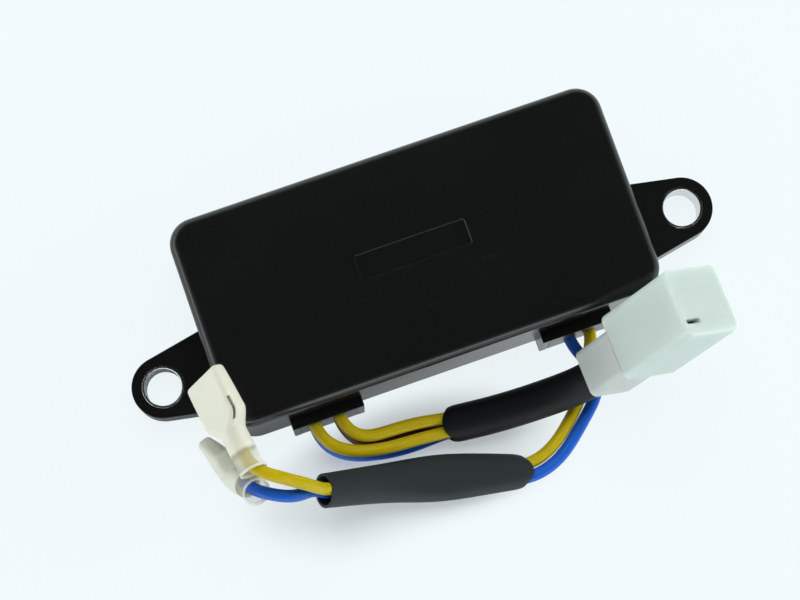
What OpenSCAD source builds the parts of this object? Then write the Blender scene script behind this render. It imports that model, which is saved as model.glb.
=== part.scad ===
// Potted automatic voltage regulator for a small generator: a moulded case with two
// mounting ears, two hooded wire outlets, a wired connector and two spade leads.
// The origin is midway between the mounting holes, on the mounting plane. +X runs to
// the right ear, +Y away from the wire outlets and +Z out of the front face.

/* [Case] */
// Length of the case
case_l = 86.6; // [80:0.2:94]
// Width of the case
case_w = 41.6; // [39:0.2:48]
// Height from the mounting plane to the front face
case_h = 21; // [20:0.5:26]
// Wall thickness of the case
case_wall = 2; // [1.5:0.1:2.6]
// Radius of the upright corners
corner_r = 5; // [4:0.5:8]
// Rounding around the front face
front_r = 2.5; // [1:0.25:3]
// Distance from the line of the mounting holes to the case's centre line
case_shift = 6.2; // [3:0.2:7]
// Length of the blank recess in the front face
recess_l = 22; // [14:0.5:40]
// Width of the blank recess in the front face
recess_w = 5; // [3:0.5:12]
// Depth of the blank recess in the front face
recess_depth = 0.4; // [0.2:0.1:0.8]

/* [Mounting ears] */
// Distance between the two mounting holes
hole_spacing = 107; // [104:0.5:118]
// Thickness of the ears
ear_t = 6; // [4:0.5:8]
// Radius of the ear ends
ear_r = 6.1; // [5.6:0.1:7.5]
// Angle that each side of an ear opens by towards the case
ear_taper = 11; // [0:1:16]
// Inside diameter of the steel eyelets
eyelet_id = 7.2; // [5.4:0.1:7.6]
// Wall thickness of the steel eyelets
eyelet_wall = 0.55; // [0.4:0.05:0.9]

/* [Wire outlets] */
// Distance between the centres of the two outlets
outlet_spacing = 50.6; // [46:0.2:56]
// Outside width of an outlet hood
outlet_w = 14.4; // [13:0.2:17]
// Reach of an outlet hood past the case wall
outlet_reach = 2.3; // [2:0.2:4]
// Height of an outlet hood above the mounting plane
outlet_h = 12; // [12:0.5:15]
// Wall thickness of an outlet hood
outlet_wall = 1.6; // [1:0.1:1.8]

/* [Resin and circuit board] */
// Depth of the resin's surface below the rim of the case
resin_drop = 0.6; // [0.2:0.1:1.5]
// Gap between the ends of the circuit board and the case
board_end_gap = 3.3; // [2.5:0.1:5]
// Gap between the sides of the circuit board and the case
board_side_gap = 2.3; // [1.5:0.1:3]
// Thickness of the circuit board
board_t = 1.6; // [1:0.1:2]
// Height of the circuit board's solder side above the mounting plane
board_z = 5.9; // [5.4:0.1:6.4]

/* [Wires and sleeves] */
// Outside diameter of the wires
wire_d = 2.4; // [2:0.1:2.5]
// Gap between wires that lie side by side in a sleeve
wire_gap = 0.2; // [0.1:0.05:0.3]
// Room between the wires and the inside of a sleeve
sleeve_fit = 0.1; // [0.05:0.05:0.3]
// Wall thickness of the sleeves
sleeve_wall = 0.5; // [0.4:0.05:0.8]

/* [Connector] */
// Length of the connector housing
connector_l = 29.5; // [27:0.5:32]
// Width of the connector housing's body
connector_w = 13.4; // [13:0.2:15]
// Height of the connector housing's body
connector_h = 13.8; // [13.4:0.2:16]
// Distance from the skirt's centre line sideways to the body's
body_aside = 0.9; // [0:0.1:1.2]
// Distance from the skirt's centre line down to the body's
body_drop = 1.5; // [0:0.1:1.6]
// Depth of the recess in the mating face
hood_depth = 0.6; // [0.3:0.1:1.5]
// Wall around the recess in the mating face
hood_wall = 1.2; // [1:0.1:1.3]
// Length of the skirt around the sleeve
skirt_l = 10; // [9:0.5:11]
// Height of the skirt around the sleeve
skirt_h = 10.8; // [10.4:0.2:12]
// Wall thickness of the skirt
skirt_wall = 1; // [0.8:0.1:1.3]
// Distance between neighbouring contacts
contact_pitch = 4.8; // [4.6:0.1:5]
// Side of the square channel that holds a contact
channel = 3.4; // [3.3:0.1:3.6]
// Reach of the latch rib past the body's underside
latch_reach = 1; // [0.6:0.1:1.6]

/* [Spade leads] */
// Length of a terminal boot
boot_l = 20.5; // [19.5:0.5:24]
// Wall thickness of a terminal boot
boot_wall = 0.7; // [0.5:0.05:0.9]
// Width of the spade receptacle over its rolled edges
spade_w = 8; // [7.4:0.1:8.4]
// Outside diameter of the receptacle's rolled edges
spade_roll_d = 2.6; // [2.4:0.1:3]
// Thickness of the terminal sheet
sheet_t = 0.5; // [0.4:0.05:0.6]
// Room between a terminal and its boot
boot_fit = 0.15; // [0.1:0.05:0.3]

/* [Hidden] */
$fn = 48;

hole_x = hole_spacing / 2;
eyelet_od = eyelet_id + 2 * eyelet_wall;
eyelet_chamfer = eyelet_wall / 2;
front_wall = case_wall + 0.2;
inner_z = case_h - front_wall;
case_low = case_shift - case_w / 2;
outlet_face = case_low - outlet_reach;
board_l = case_l - 2 * case_wall - 2 * board_end_gap;
board_w = case_w - 2 * case_wall - 2 * board_side_gap;
half_board = board_l / 2;
outlet_x = outlet_spacing / 2;
outlet_roof = outlet_h - outlet_wall;
outlet_inner_w = outlet_w - 2 * outlet_wall;
slight = 0.01;

// Places of the leads beside the centre of their outlet
left_lead_at = [-3, 1.9];
right_lead_at = [-1.4, 3.3];
lead_inset = 5;
board_edge = case_shift - board_w / 2;
board_top = board_z + board_t;
// Height between the board and the inside of the front wall, and what tall parts leave free of it
room_h = inner_z - board_top;
can_clearance = 1.3;
film_clearance = 2.3;
upper_lead_z = board_top + wire_d / 2 + wire_gap / 2;
lower_lead_z = board_z - wire_d / 2 - wire_gap / 2;
upper_yellow_x = -outlet_x + left_lead_at[1];
lower_yellow_x = -outlet_x + left_lead_at[0];
brush_blue_x = outlet_x + right_lead_at[0];
brush_yellow_x = outlet_x + right_lead_at[1];

wire_r = wire_d / 2;
wire_pitch = wire_d + wire_gap;
bundle_r = wire_pitch / sqrt(2) + wire_r;
sleeve_ir = bundle_r + sleeve_fit;
sleeve_or = sleeve_ir + sleeve_wall;
wire_sides = 8;
sleeve_sides = 16;

// The routes are drawn for outlets that end at this Y, and move with the outlets
drawn_face = -16.9;
harness_shift = [0, outlet_face - drawn_face, 0];

// The connector's rear centre and its turn about X, then Y, then Z
connector_at = [27.2, -25.7, 10.6] + harness_shift;
connector_turn = [-14.5, -52.5, 12.5];
sleeve_in_skirt = 6;
skirt_fit = 0.15;
crimp_wall = 0.45;
crimp_fit = 0.05;
crimp_l = 4;
contact_start = skirt_l + 2;
face_wall = 1;
channel_end = connector_l - hood_depth - face_wall;
contact_l = channel_end - 0.2 - contact_start;
contact_fit = 0.1;
tab_slot = [0.9, 2.6];

// Each boot's wire end and its turn about X, then Y, then Z. The yellow boot leans on the edge of the case.
yellow_boot_at = [2 - case_l / 2, -22.9, case_h + 4.6] + harness_shift;
yellow_boot_turn = [-44, 10, 99];
blue_boot_at = [0.7 - case_l / 2, -26.3, 20] + harness_shift;
blue_boot_turn = [103, 54, 120];
boot_tube_l = 9;
boot_shoulder = 2.6;
boot_tube_ir = wire_r + crimp_wall + crimp_fit + boot_fit;
boot_tube_or = boot_tube_ir + boot_wall;
spade_start = 5.3;
spade_l = boot_l - spade_start - 3;
boot_corner = 1.4;

// Routes: the free stretches of the sleeves and the wires, as points chosen by hand
connector_sleeve_route = [
    each shifted([[-4.3, -25, 4], [6, -26, 3.9], [17, -26.3, 4.4], [23, -26.3, 7]]),
    placed([-1, 0, 0], connector_at, connector_turn), placed([sleeve_in_skirt, 0, 0], connector_at, connector_turn)
];
upper_yellow_route = shifted([[-22.9, -19.6, 8.7], [-21, -22, 8.3], [-15.4, -22.5, 7.1], [-9, -22.8, 6]]);
lower_yellow_route = shifted([[-28.1, -19.4, 8.6], [-25.6, -22.6, 8], [-18.6, -25.2, 6.7], [-10, -25.8, 5.5]]);
connector_blue_route = shifted([[-28.2, -20, 4.2], [-25.8, -23.9, 3.4], [-18.8, -26.6, 2.7], [-10, -26.8, 2.5]]);
connector_brown_route = shifted([[-23, -20, 4.2], [-20.8, -22.8, 3.6], [-15.4, -23.9, 3], [-9, -23.9, 2.6]]);
brush_sleeve_route = shifted([[8.8, -38.7, 2.9], [0.1, -36.3, 3], [-8.7, -34.1, 3.6], [-19.2, -31.7, 6.2], [-30.7, -29.7, 12.8]]);
// Half width and half height of the brush sleeve at each point of its route
brush_sleeve_size = [[3.1, 2.8], [4, 2.9], [4.6, 2.6], [3.8, 3.2], [3.3, 3.4]];
// Roll of the pair of wires about the brush sleeve's line at each point of its route
brush_pair_roll = [0, 0, 0, 30, 75];
brush_yellow_start = shifted([
    [28, -19.4, 5.1], [25.9, -21.8, 4.8], [24.6, -24.6, 1.9], [24.2, -27.6, 1.3], [20.8, -30.8, 1.3], [14.6, -35.3, 1.7]
]);
brush_blue_start = shifted([
    [24.2, -19.6, 3.4], [26.6, -22, 1.4], [28, -25.6, 1.3], [26, -29.6, 1.3], [22, -33, 1.3], [14.6, -38.2, 1.8]
]);
// Last bends before the boots, as steps from each boot's wire end
brush_yellow_end = [for (step = [[8.1, -5.4, -8], [4.6, -3.9, -3.6], [2, -2.4, -0.8]]) yellow_boot_at + step];
brush_blue_end = [for (step = [[7.9, -2.9, -3.9], [4.5, -2.6, -0.4], [1.9, -1.8, 1.6]]) blue_boot_at + step];

// Turns a point about X, then Y, then Z, and moves it
function placed(p, at, turn) =
    let (cx = cos(turn[0]), sx = sin(turn[0]), cy = cos(turn[1]), sy = sin(turn[1]))
    let (cz = cos(turn[2]), sz = sin(turn[2]))
    let (a = [p[0], cx * p[1] - sx * p[2], sx * p[1] + cx * p[2]])
    let (b = [cy * a[0] + sy * a[2], a[1], -sy * a[0] + cy * a[2]])
    at + [cz * b[0] - sz * b[1], sz * b[0] + cz * b[1], b[2]];

function shifted(route) = [for (p = route) p + harness_shift];

function unit(v) = v / norm(v);

function heading(route, i) = unit(route[min(i + 1, len(route) - 1)] - route[max(i - 1, 0)]);

// Upward and sideways directions at each point of a route
function frames(route) = [
    for (i = [0:len(route) - 1])
        let (t = heading(route, i), up = unit([0, 0, 1] - t[2] * t))
        [up, cross(t, up)]
];

// A route that runs beside another, by distances upwards and sideways at each point
function beside(route, up, side) =
    let (f = frames(route))
    [for (i = [0:len(route) - 1]) route[i] + up[i] * f[i][0] + side[i] * f[i][1]];

// One ring of points around each point of a route, as a flat list
function rings(route, sizes, sides) =
    let (f = frames(route))
    [
        for (i = [0:len(route) - 1], k = [0:sides - 1])
            let (a = 360 * (k + 0.5) / sides)
            route[i] + sizes[i][0] * cos(a) * f[i][1] + sizes[i][1] * sin(a) * f[i][0]
    ];

// Faces between the rings of a tube whose first point has the number first
function ring_faces(count, sides, first, inward) = [
    for (i = [0:count - 2], k = [0:sides - 1])
        let (a = first + i * sides + k, b = first + i * sides + (k + 1) % sides)
        each inward
            ? [[a, b + sides, b], [a, a + sides, b + sides]]
            : [[a, b, b + sides], [a, b + sides, a + sides]]
];

// Solid wire along a route
module wire(route) {
    n = len(route);
    start = [for (k = [wire_sides - 1:-1:0]) k];
    finish = [for (k = [0:wire_sides - 1]) (n - 1) * wire_sides + k];
    polyhedron(
        rings(route, [for (p = route) [wire_r, wire_r]], wire_sides),
        concat([start, finish], ring_faces(n, wire_sides, 0, false))
    );
}

// Hollow sleeve along a route, with its outer half sizes at each point
module sleeve(route, sizes, wall) {
    n = len(route);
    s = sleeve_sides;
    inner = n * s;
    last = (n - 1) * s;
    ends = [
        for (k = [0:s - 1])
            let (j = (k + 1) % s)
            each [
                [k, inner + j, j], [k, inner + k, inner + j],
                [last + k, last + j, inner + last + j], [last + k, inner + last + j, inner + last + k]
            ]
    ];
    polyhedron(
        concat(rings(route, sizes, s), rings(route, [for (v = sizes) v - [wall, wall]], s)),
        concat(ring_faces(n, s, 0, false), ring_faces(n, s, inner, true), ends)
    );
}

// Straight end of a lead in the resin, from the board to the outlet's face
function lead_tail(x, z) = [[x, board_edge + lead_inset, z], [x, outlet_face, z]];

// Bore in the resin around a lead
module lead_bore(x, z) {
    translate([x, outlet_face - slight, z]) rotate([-90, 0, 0])
        cylinder(r = wire_r, h = board_edge + lead_inset - outlet_face + slight);
}

module rounded_plate(l, w, r) {
    square([l - 2 * r, w], center = true);
    square([l, w - 2 * r], center = true);
    for (x = [-1, 1], y = [-1, 1]) translate([x * (l / 2 - r), y * (w / 2 - r)]) circle(r);
}

// Bar along +X with a rounded section of width Y and height Z
module rounded_bar(l, w, h, r) {
    rotate([90, 0, 90]) linear_extrude(l) rounded_plate(w, h, r);
}

module corners() {
    for (x = [-1, 1], y = [-1, 1]) translate([x * (case_l / 2 - corner_r), y * (case_w / 2 - corner_r)]) children();
}

// Outside of the case: upright walls with a rounded front edge
module case_block() {
    translate([0, case_shift, 0]) hull() corners() rotate_extrude($fn = 32) {
        square([corner_r, case_h - front_r]);
        square([corner_r - front_r, case_h]);
        translate([corner_r - front_r, case_h - front_r]) intersection() {
            circle(front_r, $fn = 32);
            square(front_r);
        }
    }
}

// Hollow of the case, open at the mounting plane
module case_hollow(z) {
    r = corner_r - case_wall;
    translate([0, case_shift, z]) linear_extrude(inner_z - z) rounded_plate(case_l - 2 * case_wall, case_w - 2 * case_wall, r);
}

// Plan of one ear, with its sides tangent to the round end
module ear_plan() {
    root_x = case_l / 2 - corner_r;
    touch = [hole_x + ear_r * sin(ear_taper), ear_r * cos(ear_taper)];
    root_y = touch[1] + (touch[0] - root_x) * tan(ear_taper);
    polygon([[root_x, -root_y], [touch[0], -touch[1]], touch, [root_x, root_y]]);
    translate([hole_x, 0]) circle(ear_r);
}

// Channel inside an outlet hood, from the outlet's face through the case wall
module outlet_channel(z) {
    for (x = [-outlet_x, outlet_x])
        translate([x - outlet_inner_w / 2, outlet_face, z])
            cube([outlet_inner_w, outlet_reach + case_wall + slight, outlet_roof - z]);
}

module case() color([0.06, 0.06, 0.065]) {
    difference() {
        union() {
            case_block();
            for (m = [0, 1]) mirror([m, 0, 0]) linear_extrude(ear_t) ear_plan();
            for (x = [-outlet_x, outlet_x])
                translate([x - outlet_w / 2, outlet_face, 0]) cube([outlet_w, outlet_reach + case_wall, outlet_h]);
        }
        case_hollow(-slight);
        outlet_channel(-slight);
        for (x = [-hole_x, hole_x]) translate([x, 0, -slight]) cylinder(d = eyelet_od, h = ear_t + 2 * slight);
        translate([0, case_shift + 0.9, case_h - recess_depth])
            linear_extrude(recess_depth + slight) rounded_plate(recess_l, recess_w, 0.6);
    }
}

// Steel eyelet pressed into an ear, with a chamfered bore at both ends
module eyelet(x) {
    translate([x, 0, 0]) rotate_extrude() polygon([
        [eyelet_id / 2 + eyelet_chamfer, 0], [eyelet_od / 2, 0], [eyelet_od / 2, ear_t],
        [eyelet_id / 2 + eyelet_chamfer, ear_t], [eyelet_id / 2, ear_t - eyelet_chamfer],
        [eyelet_id / 2, eyelet_chamfer]
    ]);
}

module left_eyelet() color("silver") eyelet(-hole_x);

module right_eyelet() color("silver") eyelet(hole_x);

// Resin that fills the case and the outlets around the board, its parts and the leads
module potting() color([0.1, 0.09, 0.09]) difference() {
    union() {
        case_hollow(resin_drop);
        outlet_channel(resin_drop);
    }
    circuit_board();
    power_transistor();
    rectifier_diodes();
    flywheel_diode();
    filter_capacitor();
    film_capacitor();
    load_resistor();
    sense_resistors();
    control_transistors();
    for (x = [upper_yellow_x, lower_yellow_x], z = [upper_lead_z, lower_lead_z]) lead_bore(x, z);
    for (x = [brush_blue_x, brush_yellow_x]) lead_bore(x, lower_lead_z);
}

module circuit_board() color([0.1, 0.36, 0.2])
    translate([0, case_shift, board_z]) linear_extrude(board_t) rounded_plate(board_l, board_w, 2);

// Round part with a lead at each end, lying along Y on the board
module axial_part(x, y, d, l) {
    lead_d = 0.8;
    translate([x, y - l / 2, board_top + d / 2]) rotate([-90, 0, 0]) cylinder(d = d, h = l);
    for (m = [-1, 1]) {
        foot = y + m * (l / 2 + 1.5);
        translate([x, foot, board_top]) cylinder(d = lead_d, h = d / 2, $fn = 24);
        translate([x, min(foot, y + m * l / 2), board_top + d / 2])
            rotate([-90, 0, 0]) cylinder(d = lead_d, h = 1.5, $fn = 24);
    }
}

// Flat power transistor with its cooling tab and three legs
module power_transistor() color([0.16, 0.16, 0.17]) translate([0.71 * half_board, case_shift + 4, board_top]) {
    body = [15.6, 16, 4.8];
    translate([-body[0] / 2, -body[1] / 2, 0]) cube(body);
    translate([0, body[1] / 2, 0]) difference() {
        translate([-body[0] / 2, 0, 0]) cube([body[0], 5, 2]);
        translate([0, 2.6, -slight]) cylinder(d = 3.4, h = 2 + 2 * slight);
    }
    for (x = [-5.4, 0, 5.4]) translate([x - 0.6, -body[1] / 2 - 4, 0]) cube([1.2, 4, 0.6]);
}

module rectifier_diodes() color([0.2, 0.2, 0.2])
    for (i = [0:3]) axial_part(-0.05 * half_board + i * 4.6, case_shift + 8, 3.2, 6.6);

module flywheel_diode() color([0.2, 0.2, 0.2]) axial_part(-0.24 * half_board, case_shift + 9, 5, 9.4);

// Electrolytic can lying along X, as thick as the room above the board allows
module filter_capacitor() color([0.12, 0.16, 0.3]) {
    can_d = min(10, room_h - can_clearance);
    translate([-0.895 * half_board, case_shift + 9, board_top + can_d / 2]) rotate([0, 90, 0]) cylinder(d = can_d, h = 17);
}

module film_capacitor() color([0.75, 0.6, 0.15])
    translate([-0.895 * half_board, case_shift - 8, board_top]) cube([13, 6.5, min(9, room_h - film_clearance)]);

// Ceramic power resistor
module load_resistor() color([0.85, 0.84, 0.8])
    translate([-0.42 * half_board, case_shift - 5, board_top]) cube([17, 6.4, 6.4]);

module sense_resistors() color([0.75, 0.62, 0.45])
    for (i = [0:3]) axial_part(0.12 * half_board + i * 3.6, case_shift - 4, 2.3, 6);

module control_transistors() color([0.15, 0.15, 0.15])
    for (x = [0.87, 0.645]) translate([x * half_board, case_shift - 11, board_top]) intersection() {
        cylinder(d = 4.8, h = 4.6);
        translate([-2.4, -1.6, 0]) cube([4.8, 4, 4.6]);
    }

// Free wire of the connector: from its outlet through the sleeve to its contact
module connector_wire(x, z, route, up, side) {
    row = contact_pitch / 2;
    half = wire_pitch / 2;
    line = connector_sleeve_route;
    bundle = beside(line, [for (p = line) up * half], [for (p = line) side * half]);
    crimp = [
        for (s = [skirt_l + 0.6, contact_start + crimp_l])
            placed([s, -side * row, up * row], connector_at, connector_turn)
    ];
    wire(concat(lead_tail(x, z), route, bundle, crimp));
}

module upper_yellow_wire() color([0.88, 0.8, 0.12])
    connector_wire(upper_yellow_x, upper_lead_z, upper_yellow_route, 1, -1);

module lower_yellow_wire() color([0.88, 0.8, 0.12])
    connector_wire(lower_yellow_x, upper_lead_z, lower_yellow_route, 1, 1);

module connector_blue_wire() color([0.14, 0.3, 0.75])
    connector_wire(lower_yellow_x, lower_lead_z, connector_blue_route, -1, 1);

module connector_brown_wire() color([0.35, 0.12, 0.1])
    connector_wire(upper_yellow_x, lower_lead_z, connector_brown_route, -1, -1);

// Free wire of a spade lead: from its outlet through the brush sleeve to its terminal
module brush_wire(x, start, finish, side, at, turn) {
    entry = [for (s = [0, boot_tube_l - 2]) placed([s, 0, 0], at, turn)];
    half = side * wire_pitch / 2;
    bundle = beside(
        brush_sleeve_route, [for (a = brush_pair_roll) half * sin(a)], [for (a = brush_pair_roll) half * cos(a)]
    );
    wire(concat(lead_tail(x, lower_lead_z), start, bundle, finish, entry));
}

module brush_yellow_wire() color([0.88, 0.8, 0.12])
    brush_wire(brush_yellow_x, brush_yellow_start, brush_yellow_end, 1, yellow_boot_at, yellow_boot_turn);

module brush_blue_wire() color([0.14, 0.3, 0.75])
    brush_wire(brush_blue_x, brush_blue_start, brush_blue_end, -1, blue_boot_at, blue_boot_turn);

module connector_sleeve() color([0.1, 0.1, 0.11])
    sleeve(connector_sleeve_route, [for (p = connector_sleeve_route) [sleeve_or, sleeve_or]], sleeve_wall);

module brush_sleeve() color([0.18, 0.2, 0.22]) sleeve(brush_sleeve_route, brush_sleeve_size, sleeve_wall);

// Places the four contacts side by side and one above the other
module at_contact(y, z) {
    translate([0, y * contact_pitch / 2, z * contact_pitch / 2]) children();
}

// Housing with a skirt around the sleeve, a body with four channels, a shallow recess in its mating face with
// a slot for each tab, and a latch rib under it
module connector_housing() color([0.86, 0.92, 0.9]) translate(connector_at) rotate(connector_turn) difference() {
    skirt_room = 2 * (sleeve_or + skirt_fit);
    hood = 2 * hood_wall;
    union() {
        rounded_bar(skirt_l + 1, skirt_room + 2 * skirt_wall, skirt_h, 1.4);
        translate([0, body_aside, -body_drop]) {
            translate([skirt_l, 0, 0]) rounded_bar(connector_l - skirt_l, connector_w, connector_h, 1.6);
            translate([connector_l - 12, 0, 1 - connector_h / 2]) rotate([90, 0, 0]) linear_extrude(5, center = true)
                polygon([[-1.5, 0], [0, -1 - latch_reach], [9, -1 - latch_reach], [11, -1], [11, 0]]);
        }
    }
    translate([-slight, 0, 0]) rounded_bar(skirt_l, skirt_room, skirt_h - 2 * skirt_wall, 1);
    translate([connector_l - hood_depth, body_aside, -body_drop])
        rounded_bar(hood_depth + slight, connector_w - hood, connector_h - hood, 0.8);
    for (y = [-1, 1], z = [-1, 1]) at_contact(y, z) {
        translate([skirt_l - 1, -channel / 2, -channel / 2]) cube([channel_end - skirt_l + 1, channel, channel]);
        translate([channel_end - slight, 0.4 - tab_slot[0] / 2, -tab_slot[1] / 2])
            cube([face_wall + 2 * slight, tab_slot[0], tab_slot[1]]);
    }
}

// Brass contact: a crimp around the wire, a neck and a box that takes the mating tab
module connector_contact(y, z) color([0.8, 0.66, 0.3]) translate(connector_at) rotate(connector_turn)
    at_contact(y, z) translate([contact_start, 0, 0]) rotate([90, 0, 0]) {
        box = channel - 2 * contact_fit;
        box_l = contact_l - crimp_l - 2;
        rotate([0, 90, 0]) difference() {
            cylinder(r = wire_r + crimp_fit + crimp_wall, h = crimp_l);
            translate([0, 0, -slight]) cylinder(r = wire_r + crimp_fit, h = crimp_l + 2 * slight);
        }
        translate([crimp_l - slight, -box / 2, -wire_r - crimp_fit - crimp_wall])
            cube([2 + 2 * slight, box, crimp_wall]);
        translate([crimp_l + 2, 0, 0]) difference() {
            translate([0, -box / 2, -box / 2]) cube([box_l, box, box * 0.75]);
            translate([-slight, -box / 2 + sheet_t, -box / 2 + sheet_t])
                cube([box_l + 2 * slight, box - 2 * sheet_t, box * 0.75 - 2 * sheet_t]);
        }
    }

module connector_contact_1() connector_contact(-1, -1);

module connector_contact_2() connector_contact(1, -1);

module connector_contact_3() connector_contact(-1, 1);

module connector_contact_4() connector_contact(1, 1);

// Soft boot: a tube over the crimp that opens to a flat mouth over the receptacle
module boot_form(tube_r, w, h, l, r) {
    rotate([0, 90, 0]) cylinder(r = tube_r, h = boot_tube_l);
    hull() {
        translate([boot_tube_l - 1, 0, 0]) rotate([0, 90, 0]) cylinder(r = tube_r, h = 1, $fn = 32);
        translate([boot_tube_l + boot_shoulder, 0, 0]) rounded_bar(0.2, w, h, r, $fn = 32);
    }
    translate([boot_tube_l + boot_shoulder, 0, 0]) rounded_bar(l - boot_tube_l - boot_shoulder, w, h, r);
}

module boot(at, turn) {
    mouth_w = spade_w + 2 * boot_fit;
    mouth_h = spade_roll_d + 2 * boot_fit;
    slit = [4.4, 3, 0.9];
    translate(at) rotate(turn) difference() {
        boot_form(boot_tube_or, mouth_w + 2 * boot_wall, mouth_h + 2 * boot_wall, boot_l, boot_corner);
        translate([-slight, 0, 0]) boot_form(boot_tube_ir, mouth_w, mouth_h, boot_l + 2 * slight, boot_corner - boot_wall);
        translate([boot_l - 7.5, -mouth_w / 2, mouth_h / 4]) cube(slit, center = true);
    }
}

module yellow_boot() color([0.9, 0.92, 0.85]) boot(yellow_boot_at, yellow_boot_turn);

module blue_boot() color([0.9, 0.92, 0.85]) boot(blue_boot_at, blue_boot_turn);

// Folded receptacle: a crimp around the wire, a neck, a floor and two rolled edges
module spade(at, turn) translate(at) rotate(turn) translate([spade_start, 0, 0]) {
    crimp_r = wire_r + crimp_fit;
    grip_l = 2.8;
    neck_joint = 0.3;
    floor_start = boot_tube_l + boot_shoulder - spade_start + 0.3;
    floor_w = spade_w - spade_roll_d;
    floor_z = -spade_roll_d / 2;
    neck_w = 2 * sqrt(pow(crimp_r + 0.7 * crimp_wall, 2) - pow(floor_z, 2));
    rotate([0, 90, 0]) difference() {
        cylinder(r = crimp_r + crimp_wall, h = grip_l);
        translate([0, 0, -slight]) cylinder(r = crimp_r, h = grip_l + 2 * slight);
    }
    translate([grip_l - neck_joint, -neck_w / 2, floor_z]) cube([floor_start - grip_l + 1, neck_w, sheet_t]);
    translate([floor_start, -floor_w / 2, floor_z]) cube([spade_l - floor_start, floor_w, sheet_t]);
    for (m = [-1, 1]) translate([floor_start, m * floor_w / 2, 0]) rotate([0, 90, 0]) difference() {
        cylinder(d = spade_roll_d, h = spade_l - floor_start);
        translate([0, 0, -slight]) cylinder(d = spade_roll_d - 2 * sheet_t, h = spade_l);
        translate([-spade_roll_d / 2 + sheet_t, m > 0 ? -spade_roll_d : 0, -slight])
            cube([sheet_t, spade_roll_d, spade_l]);
    }
}

module yellow_spade() color([0.8, 0.72, 0.5]) spade(yellow_boot_at, yellow_boot_turn);

module blue_spade() color([0.8, 0.72, 0.5]) spade(blue_boot_at, blue_boot_turn);

case();
left_eyelet();
right_eyelet();
potting();
circuit_board();
power_transistor();
rectifier_diodes();
flywheel_diode();
filter_capacitor();
film_capacitor();
load_resistor();
sense_resistors();
control_transistors();
upper_yellow_wire();
lower_yellow_wire();
connector_blue_wire();
connector_brown_wire();
brush_yellow_wire();
brush_blue_wire();
connector_sleeve();
brush_sleeve();
connector_housing();
connector_contact_1();
connector_contact_2();
connector_contact_3();
connector_contact_4();
yellow_boot();
blue_boot();
yellow_spade();
blue_spade();
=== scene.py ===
"""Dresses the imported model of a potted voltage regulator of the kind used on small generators.

The file is laid out as an add-on and is run as a script. Every piece is worked out in metres in the frame
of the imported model, and stands for the solids that it replaces.
"""

import math

import bmesh
import bpy
import numpy as np
from mathutils import Matrix


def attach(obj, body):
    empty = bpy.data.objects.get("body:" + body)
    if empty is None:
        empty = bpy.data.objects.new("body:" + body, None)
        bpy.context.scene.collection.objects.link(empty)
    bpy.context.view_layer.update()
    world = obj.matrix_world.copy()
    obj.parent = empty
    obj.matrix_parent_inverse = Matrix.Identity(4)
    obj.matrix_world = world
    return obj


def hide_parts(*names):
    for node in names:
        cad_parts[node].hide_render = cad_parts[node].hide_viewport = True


bl_info = {
    "name": "Potted Voltage Regulator",
    "version": (1, 0, 0),
    "blender": (4, 5, 0),
    "location": "View3D > Sidebar > Regulator",
    "description": "Builds the case, harness, connector and spade leads of a potted voltage regulator",
    "category": "Object",
}

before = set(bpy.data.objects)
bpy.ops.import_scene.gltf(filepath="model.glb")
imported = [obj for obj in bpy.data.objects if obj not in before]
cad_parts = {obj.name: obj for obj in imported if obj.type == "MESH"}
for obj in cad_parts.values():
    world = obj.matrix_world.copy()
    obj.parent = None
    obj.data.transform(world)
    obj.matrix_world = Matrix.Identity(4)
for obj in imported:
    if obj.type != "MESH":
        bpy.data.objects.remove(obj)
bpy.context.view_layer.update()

MM = 0.001
BODY = "root"
PHOTO_WIDTH = 800
CORNER_STEPS = 10
EAR_STEPS = 120
EYELET_STEPS = 96
WIRE_SIDES = 20
SLEEVE_SIDES = 48
BOOT_RINGS = 84
PATH_STEP = 0.6 * MM
MERGE_DISTANCE = 1e-6
SLIVER = 1e-7
FLOOR_HALF = 3.0

# Finishes, wires and fittings that later steps need, by name
STORE = {}

# Places of the connector and the boots: a point in millimetres, and turns about X, Y and Z in degrees
CONNECTOR_PLACE = ((27.2, -25.7, 10.6), (-14.5, -52.5, 12.5))
YELLOW_BOOT_PLACE = ((-41.7, -23, 25.6), (-44, 10, 99))
BLUE_BOOT_PLACE = ((-42.6, -26.3, 20), (103, 54, 120))

# Routes of the harness in millimetres. They follow those of the part's source within 1 mm, and lie further
# off only at the ends of the brush leads. The sizes are half the width and half the height of the brush
# sleeve at each of its points, and the roll is that of the pair of leads in it, in degrees.
CONNECTOR_SLEEVE_ROUTE = ((-5.1, -24.9, 4), (6, -26, 3.9), (17, -26.3, 4.4), (23, -26.3, 7))
CONNECTOR_WIRE_ROUTES = {
    "upper_yellow_wire": ((-22.9, -19.6, 8.7), (-21, -22, 8.3), (-15.4, -22.5, 7.1), (-9, -22.8, 6)),
    "lower_yellow_wire": ((-28.1, -19.4, 8.6), (-25.6, -22.6, 8), (-18.6, -25.2, 6.7), (-10, -25.8, 5.5)),
    "connector_blue_wire": ((-28.2, -19.7, 4.2), (-25.8, -23, 3.4), (-18.8, -25.7, 2.7), (-10, -26.5, 2.5)),
    "connector_brown_wire": ((-23, -20, 4.2), (-20.8, -22.8, 3.6), (-15.4, -23.9, 3), (-9, -23.9, 2.6)),
}
BRUSH_SLEEVE_ROUTE = (
    (8.8, -38.7, 2.9), (0.1, -36.3, 3), (-8.7, -34.1, 3.6), (-19.2, -31.7, 6.2), (-30.7, -29.7, 12.8),
)
BRUSH_SLEEVE_SIZES = ((3.1, 2.8), (4, 2.9), (4.6, 2.6), (3.8, 3.2), (3.3, 3.4))
BRUSH_PAIR_ROLL = (0, 0, 0, 30, 90)
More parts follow.
